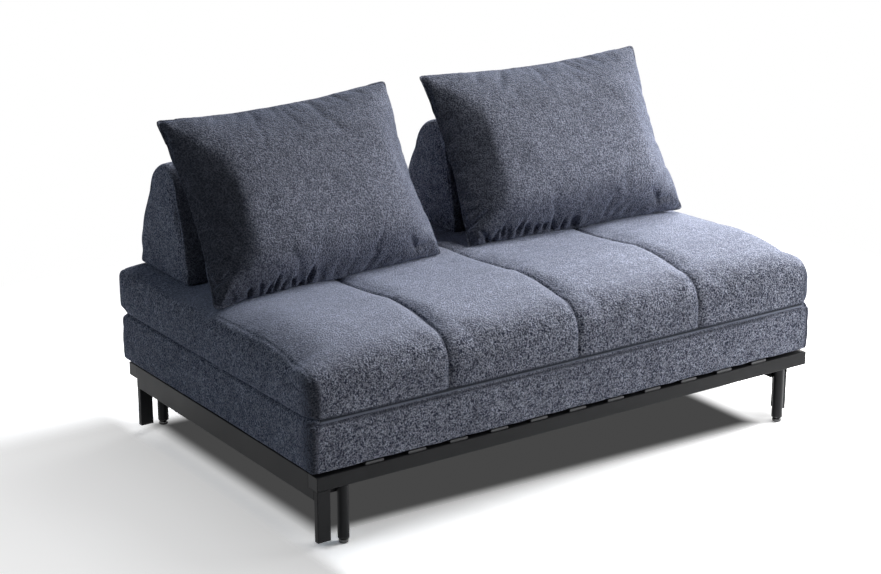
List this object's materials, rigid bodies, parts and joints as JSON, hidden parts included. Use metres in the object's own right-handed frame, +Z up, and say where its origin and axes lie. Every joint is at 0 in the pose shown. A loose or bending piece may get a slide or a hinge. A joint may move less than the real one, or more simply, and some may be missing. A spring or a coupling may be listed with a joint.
{
  "type": "sofa bed",
  "caption": "Two-seat sofa bed with a steel pull-out slatted frame, a folding channelled mattress, loose backrests and loose cushions",
  "frame": {"origin": "on the floor, under the middle of the sofa as it stands folded", "axes": "+X to the right for someone facing the sofa, +Y from the front to the back, +Z up"},
  "size_m": [1.527, 0.952, 0.8773],
  "materials": {
    "frame_steel": "satin black powder coat",
    "slat_steel": "satin dark grey powder coat",
    "rivet_steel": "zinc plated",
    "black_plastic": "matt",
    "foot_plastic": "gloss black",
    "upholstery": "slate blue-grey chenille with light and dark fibres",
    "foam": "open-cell foam",
    "fibre_filling": "loose fibre",
    "base_cloth": "non-woven cloth",
    "hinge_cloth": "plain weave",
    "board": "raw plywood"
  },
  "bodies": {
    "rear_frame": {"rear_rail": "frame_steel", "rear_rail_end_caps": "black_plastic", "rear_frame_front_cross_bar": "frame_steel", "rear_frame_middle_bar": "frame_steel", "rear_frame_side_rail_left": "frame_steel", "rear_frame_side_rail_right": "frame_steel", "rear_slats": "slat_steel", "rear_slat_rivets": "rivet_steel", "left_guide_blocks": "black_plastic", "right_guide_pads": "black_plastic", "levelling_leg_front_left": "frame_steel", "levelling_leg_front_right": "frame_steel", "levelling_leg_rear_left": "frame_steel", "levelling_leg_rear_right": "frame_steel", "leg_inserts": "black_plastic", "mattress_lower_cover": "upholstery", "mattress_lower_foam": "foam", "mattress_lower_base_cloth": "base_cloth", "fabric_hinge_strip": "hinge_cloth"},
    "front_frame": {"front_rail": "frame_steel", "front_rail_end_caps": "black_plastic", "front_frame_side_rail_left": "frame_steel", "front_frame_side_rail_right": "frame_steel", "flat_leg_front_left": "frame_steel", "flat_leg_front_right": "frame_steel", "flat_leg_rear_left": "frame_steel", "flat_leg_rear_right": "frame_steel", "flat_leg_glides": "black_plastic", "front_slat_01": "slat_steel", "front_slat_02": "slat_steel", "front_slat_03": "slat_steel", "front_slat_04": "slat_steel", "front_slat_05": "slat_steel", "front_slat_06": "slat_steel", "front_slat_07": "slat_steel", "front_slat_08": "slat_steel", "front_slat_09": "slat_steel", "front_slat_10": "slat_steel", "front_slat_11": "slat_steel", "front_slat_rivets": "rivet_steel"},
    "mattress_top": {"mattress_upper_cover": "upholstery", "mattress_upper_foam": "foam", "mattress_upper_bed_panel": "upholstery"},
    "backrest_left": {"backrest_left_cover": "upholstery", "backrest_left_foam": "foam", "backrest_left_base_board": "board"},
    "cushion_left": {"cushion_left_front_panel": "upholstery", "cushion_left_back_panel": "upholstery", "cushion_left_filling": "fibre_filling"},
    "backrest_right": {"backrest_right_cover": "upholstery", "backrest_right_foam": "foam", "backrest_right_base_board": "board"},
    "cushion_right": {"cushion_right_front_panel": "upholstery", "cushion_right_back_panel": "upholstery", "cushion_right_filling": "fibre_filling"},
    "foot_front_left": {"levelling_foot_front_left": "foot_plastic"},
    "foot_front_right": {"levelling_foot_front_right": "foot_plastic"},
    "foot_rear_left": {"levelling_foot_rear_left": "foot_plastic"},
    "foot_rear_right": {"levelling_foot_rear_right": "foot_plastic"}
  },
  "joints": [
    {"name": "front_frame_slide", "type": "slide", "parent": "rear_frame", "child": "front_frame", "axis": [0, -1, 0], "range_m": [0, 0.86]},
    {"name": "mattress_fold", "type": "hinge", "parent": "rear_frame", "child": "mattress_top", "pos_m": [0, -0.4743, 0.3356], "axis": [1, 0, 0], "range_deg": [0, 180]},
    {"name": "backrest_left_turn", "type": "hinge", "parent": "mattress_top", "child": "backrest_left", "pos_m": [-0.4025, 0.4787, 0.5569], "axis": [1, 0, 0], "range_deg": [-180, 0]},
    {"name": "cushion_left_lift", "type": "slide", "parent": "backrest_left", "child": "cushion_left", "axis": [0, 0, 1], "range_m": [0, 0.4]},
    {"name": "backrest_right_turn", "type": "hinge", "parent": "mattress_top", "child": "backrest_right", "pos_m": [0.4025, 0.4787, 0.5569], "axis": [1, 0, 0], "range_deg": [-180, 0]},
    {"name": "cushion_right_lift", "type": "slide", "parent": "backrest_right", "child": "cushion_right", "axis": [0, 0, 1], "range_m": [0, 0.4]},
    {"name": "foot_front_left_turn", "type": "hinge", "parent": "rear_frame", "child": "foot_front_left", "pos_m": [-0.672, -0.46, 0.01], "axis": [0, 0, 1], "continuous": true},
    {"name": "foot_front_right_turn", "type": "hinge", "parent": "rear_frame", "child": "foot_front_right", "pos_m": [0.672, -0.46, 0.01], "axis": [0, 0, 1], "continuous": true},
    {"name": "foot_rear_left_turn", "type": "hinge", "parent": "rear_frame", "child": "foot_rear_left", "pos_m": [-0.672, 0.434, 0.01], "axis": [0, 0, 1], "continuous": true},
    {"name": "foot_rear_right_turn", "type": "hinge", "parent": "rear_frame", "child": "foot_rear_right", "pos_m": [0.672, 0.434, 0.01], "axis": [0, 0, 1], "continuous": true}
  ],
  "couplings": [
    {"joint": "backrest_left_turn", "follows": "mattress_fold", "ratio": -1},
    {"joint": "backrest_right_turn", "follows": "mattress_fold", "ratio": -1}
  ]
}
